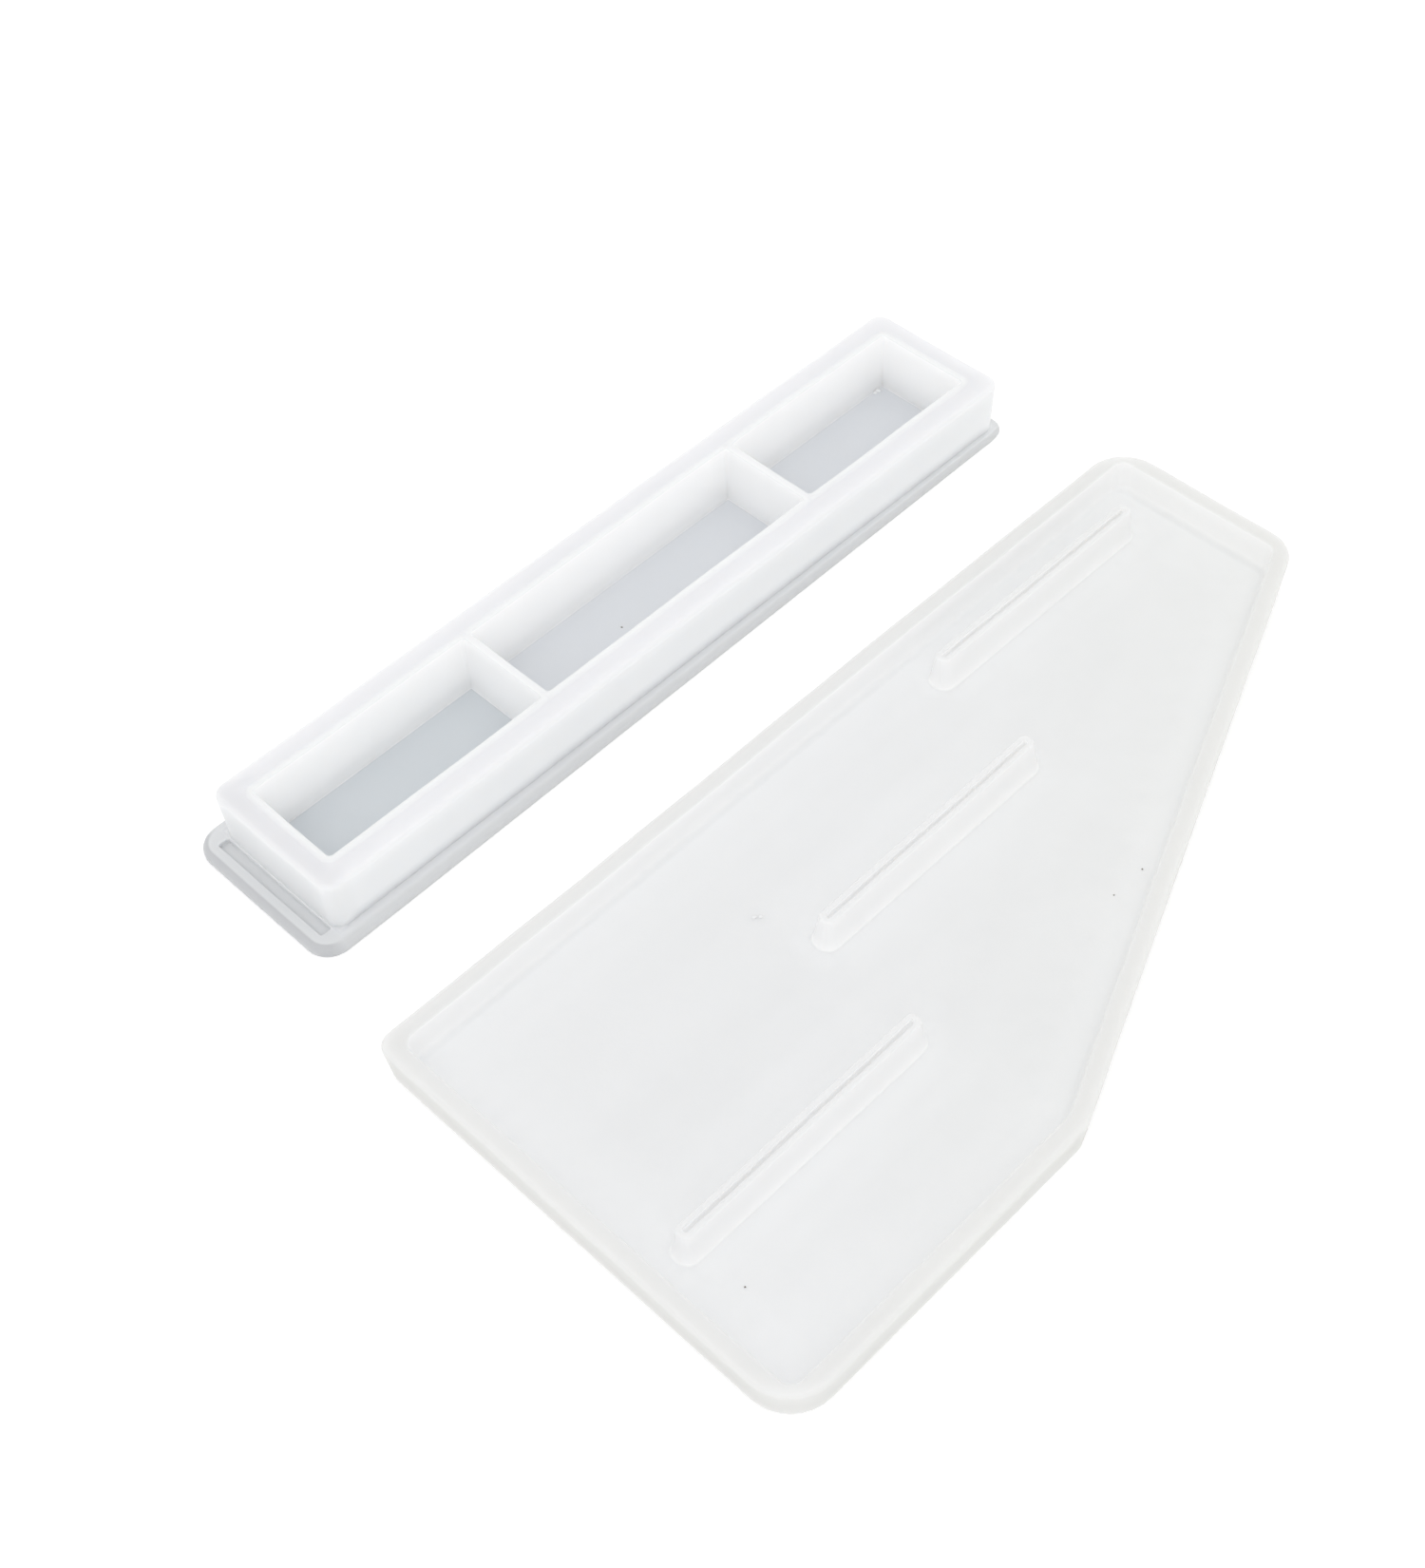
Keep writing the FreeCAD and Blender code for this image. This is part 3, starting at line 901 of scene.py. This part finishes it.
# %% Light that comes through the casting, painted into the tint
SKY_RAYS = 64
PAINTED_LIGHT_THROUGH = 0.42       # how much brighter a face is painted where clear silicone closes it in: painted light


def closed_in(data):
    """For each point, the share of the light from above its face that would have to come
    through the same casting."""
    tree = BVHTree.FromPolygons([vert.co for vert in data.vertices],
                                [face.vertices for face in data.polygons])
    steps = np.arange(SKY_RAYS)
    reach, turn = np.sqrt((steps + 0.5) / SKY_RAYS), steps * math.pi * (3 - math.sqrt(5))
    rays = [Vector(ray) for ray in zip(reach * np.cos(turn), reach * np.sin(turn),
                                       np.sqrt(1 - reach ** 2))]
    shares = []
    for vert in data.vertices:
        upright = Vector((0, 0, 1)).rotation_difference(vert.normal)
        start = vert.co + vert.normal * 0.2 * MM
        hits = sum(tree.ray_cast(start, upright @ ray)[0] is not None for ray in rays)
        shares.append(hits / SKY_RAYS)
    print("closed in by the casting: %.2f on average, %.2f at most"
          % (sum(shares) / len(shares), max(shares)))
    return np.array(shares)


# %% The whole tray
def tray_skin():
    """The five-sided tray and its fins as one closed skin."""
    skin = Skin()
    feet = take(skin, fins.data)
    laid = skin.stack(panel_rows())
    fill_between(skin, laid[0], *feet, spacing=POINT_SPACING)
    skin.close(laid[-1], up=False)
    return finish(skin, "panel_tray", PANEL_LOW, PANEL_HIGH)


tray = tray_skin()
tray.data.materials.append(tray_silicone)
set_painted_light_and_shade(tray.data, 1 + PAINTED_LIGHT_THROUGH * closed_in(tray.data))
bpy.data.objects.remove(fins)
print("tray skin", len(tray.data.vertices), "points", len(tray.data.polygons), "faces")

# %% [markdown]
# ## Bubbles and specks
# A hand-poured casting keeps a few marks: a bubble that rose to the floor of a cell and left a
# low blister, and specks of dust that the mixing cup shed. Bump in the material could hint at
# them, but real faces also show in the meshes themselves. Geometry Nodes sets one small grain on
# each point of a plain mesh, turned and sized by a fixed seed.

# %% Grains on points
def grain_tree():
    """A tree that sets flattened grains on the points of a mesh."""
    tree, given = start_tree("grains_on_points", {
        "Points": "Geometry", "Radius": "Float", "Height Share": "Float", "Seed": "Int",
        "Material": "Material"})
    ball = add_node(tree, "GeometryNodeMeshIcoSphere", {"Radius": given["Radius"],
                                                        "Subdivisions": 4})
    smooth = add_node(tree, "GeometryNodeSetShadeSmooth", {"Geometry": ball.outputs["Mesh"]})
    turn = add_node(tree, "FunctionNodeRandomValue",
                    {"Max": (0.0, 0.0, 2 * math.pi), "Seed": given["Seed"]},
                    data_type="FLOAT_VECTOR")
    spread = add_node(tree, "FunctionNodeRandomValue",
                      {"Min": (0.7, 0.7, 1.0), "Max": (1.3, 1.3, 1.0), "Seed": given["Seed"]},
                      data_type="FLOAT_VECTOR")
    low = add_node(tree, "ShaderNodeCombineXYZ", {"X": 1.0, "Y": 1.0,
                                                  "Z": given["Height Share"]})
    scale = add_node(tree, "ShaderNodeVectorMath", {0: spread.outputs["Value"],
                                                    1: low.outputs[0]}, operation="MULTIPLY")
    grains = add_node(tree, "GeometryNodeInstanceOnPoints",
                      {"Points": given["Points"], "Instance": smooth.outputs[0],
                       "Rotation": turn.outputs["Value"], "Scale": scale.outputs[0]})
    end_tree(tree, grains, given["Material"])
    return tree


def grains(name, places, radius, height_share, seed, material, tree):
    """Grains at (x, y) places on a floor, in millimetres."""
    base = bpy.data.meshes.new(name + "_points")
    base.from_pydata([(x * MM, y * MM, FLOOR * MM) for x, y in places], [], [])
    return bake_tree(name, tree, {"Radius": radius * MM, "Height Share": height_share,
                                  "Seed": seed, "Material": material}, base)


# %% Dust
def dust():
    """Grey-brown dust, matt, a little mottled."""
    material, tree, shader = new_material("dust_specks_grey_brown")
    place = add_node(tree, "ShaderNodeTexCoord").outputs["Object"]
    mottle = add_node(tree, "ShaderNodeTexNoise", {"Vector": place, "Scale": 4000.0})
    mixed = add_node(tree, "ShaderNodeMix", {"Factor": mottle.outputs[0],
                                             "A": from_hex("#5A5650"), "B": from_hex("#8C867C")},
                     data_type="RGBA")
    fill_inputs(tree, shader, {"Base Color": mixed.outputs[2], "Roughness": 0.85})
    return material


grey_dust = dust()
grain_nodes = grain_tree()
tray_specks = grains("specks_tray", [(24.9, -60.3), (15.5, -60.2), (-93.1, -50.8),
                                     (-102.3, -66.8), (-91.0, -88.7)],
                     0.2, 0.5, 3, grey_dust, grain_nodes)
loaf_specks = grains("specks_loaf", [(-0.8, 71.6)], 0.25, 0.5, 5, grey_dust, grain_nodes)
print("specks", len(tray_specks.data.polygons) + len(loaf_specks.data.polygons), "faces")

# %% Bubbles
def blister():
    """The thin clear skin over a bubble: glossy, since it formed against air, and streaked."""
    material, tree, shader = new_material("silicone_blister_clear")
    place = add_node(tree, "ShaderNodeTexCoord").outputs["Object"]
    streaks = add_node(tree, "ShaderNodeTexNoise", {"Vector": place, "Scale": 900.0})
    satin = add_node(tree, "ShaderNodeMapRange", {"Value": streaks.outputs[0], "To Min": 0.08,
                                                  "To Max": 0.25})
    fill_inputs(tree, shader, {"Base Color": from_hex("#E9EAEB"), "IOR": SILICONE_IOR,
                               "Roughness": satin.outputs[0]})
    return material


clear_skin = blister()
tray_bubbles = grains("bubbles_tray", [(-38.9, -9.9), (-39.9, -9.0)], 0.4, 0.15, 7,
                      clear_skin, grain_nodes)
loaf_bubbles = grains("bubbles_loaf", [(100.7, 82.8), (99.5, 82.8)], 0.7, 0.4, 9,
                      clear_skin, grain_nodes)
print("bubbles", len(tray_bubbles.data.polygons) + len(loaf_bubbles.data.polygons), "faces")

# %% [markdown]
# ## Riding on the frame
# Each mould's skin stands for its CAD solid, which stays hidden as the shape that collides. The
# skin moves with the solid's body, and its marks ride along.

# %% Rides
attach(loaf, "loaf")
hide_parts("loaf_mould")
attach(tray, "panel")
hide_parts("panel_mould")
for piece, body in ((tray_specks, "panel"), (loaf_specks, "loaf"),
                    (tray_bubbles, "panel"), (loaf_bubbles, "loaf")):
    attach(piece, body)
print("riding on loaf and panel:", loaf.name, tray.name, "and their specks and bubbles")

# %% [markdown]
# ## Floor, light and camera
# The moulds lie on a white sheet. For the camera the sheet glows a little, so that it reads as
# paper white while it still takes the soft shadow round each mould. More lamp light would give
# the same white, but would wash out the pale silicone. The room lights evenly from all round,
# and one large softbox gives the inner walls a bright and a dim side.

# %% Floor
def seen_by_eye(tree):
    """1 where a ray comes from the camera, straight, by a reflection or through the part."""
    path = add_node(tree, "ShaderNodeLightPath").outputs
    either = add_node(tree, "ShaderNodeMath", {0: path["Is Camera Ray"],
                                               1: path["Is Glossy Ray"]}, operation="MAXIMUM")
    return add_node(tree, "ShaderNodeMath", {0: either.outputs[0],
                                             1: path["Is Transmission Ray"]},
                    operation="MAXIMUM").outputs[0]


def white_sheet():
    """A wide white floor just under the moulds."""
    bpy.ops.mesh.primitive_plane_add(size=6.0, location=(0, 0, -0.02 * MM))
    sheet = bpy.context.object
    sheet.name = "white_sheet"
    material, tree, _ = new_material("paper_matt_white")
    tree.nodes.clear()
    diffuse = add_node(tree, "ShaderNodeBsdfDiffuse", {"Color": from_hex("#F4F4F4")})
    glow = add_node(tree, "ShaderNodeEmission", {"Strength": 0.22})
    both = add_node(tree, "ShaderNodeAddShader", {0: diffuse.outputs[0], 1: glow.outputs[0]})
    pick = add_node(tree, "ShaderNodeMixShader", {0: seen_by_eye(tree), 1: diffuse.outputs[0],
                                                  2: both.outputs[0]})
    add_node(tree, "ShaderNodeOutputMaterial", {"Surface": pick.outputs[0]})
    sheet.data.materials.append(material)
    return sheet


print("floor", white_sheet().name)

# %% Light
def softbox(name, place, target, size, power):
    """A square softbox that faces a point."""
    data = bpy.data.lights.new(name, "AREA")
    data.size, data.energy = size, power
    lamp = add_object(name, data)
    lamp.location = place
    aim = Vector(target) - Vector(place)
    lamp.rotation_euler = aim.to_track_quat("-Z", "Y").to_euler()
    return lamp


def room_light(strength):
    """Even white light from all round."""
    world = bpy.data.worlds.new("white_room")
    world.use_nodes = True
    back = world.node_tree.nodes["Background"]
    back.inputs["Color"].default_value = (1, 1, 1, 1)
    level = add_node(world.node_tree, "ShaderNodeMix",
                     {"Factor": seen_by_eye(world.node_tree), "A": strength, "B": 1.0})
    world.node_tree.links.new(level.outputs[0], back.inputs["Strength"])
    bpy.context.scene.world = world


room_light(1.0)
key = softbox("key_softbox", place=(-1.3, -1.3, 2.1), target=(0, 0, 0), size=1.6, power=9.6)
print("light", key.name, "%.1f m across, %.1f W" % (key.data.size, key.data.energy))

# %% Camera
# The view is from high over the pull end and the tray's slanted edge.
CAMERA_PLACE = (-238.62, -215.21, 392.74)
CAMERA_YAW, CAMERA_FALL, CAMERA_ROLL = 42.55, 50.45, -3.67
FOCAL_SHARE = 2433 / 1650    # focal length over the long side of the picture


def main_camera():
    """The camera, with its long side 36 mm wide."""
    yaw, fall, roll = (math.radians(v) for v in (CAMERA_YAW, CAMERA_FALL, CAMERA_ROLL))
    forward = Vector((math.sin(yaw) * math.cos(fall), math.cos(yaw) * math.cos(fall),
                      -math.sin(fall)))
    level = Vector((math.cos(yaw), -math.sin(yaw), 0))
    up = level.cross(forward)
    right = math.cos(roll) * level + math.sin(roll) * up
    above = -math.sin(roll) * level + math.cos(roll) * up
    data = bpy.data.cameras.new("camera")
    data.sensor_width = 36.0
    data.lens = FOCAL_SHARE * data.sensor_width
    data.clip_start, data.clip_end = 0.01, 20.0
    camera = add_object("camera", data)
    turn = Matrix((right, above, -forward)).transposed()
    camera.matrix_world = Matrix.Translation(Vector(CAMERA_PLACE) * MM) @ turn.to_4x4()
    bpy.context.scene.camera = camera
    return camera


print("camera lens %.1f mm" % main_camera().data.lens)
bpy.context.scene.view_settings.view_transform = "Standard"
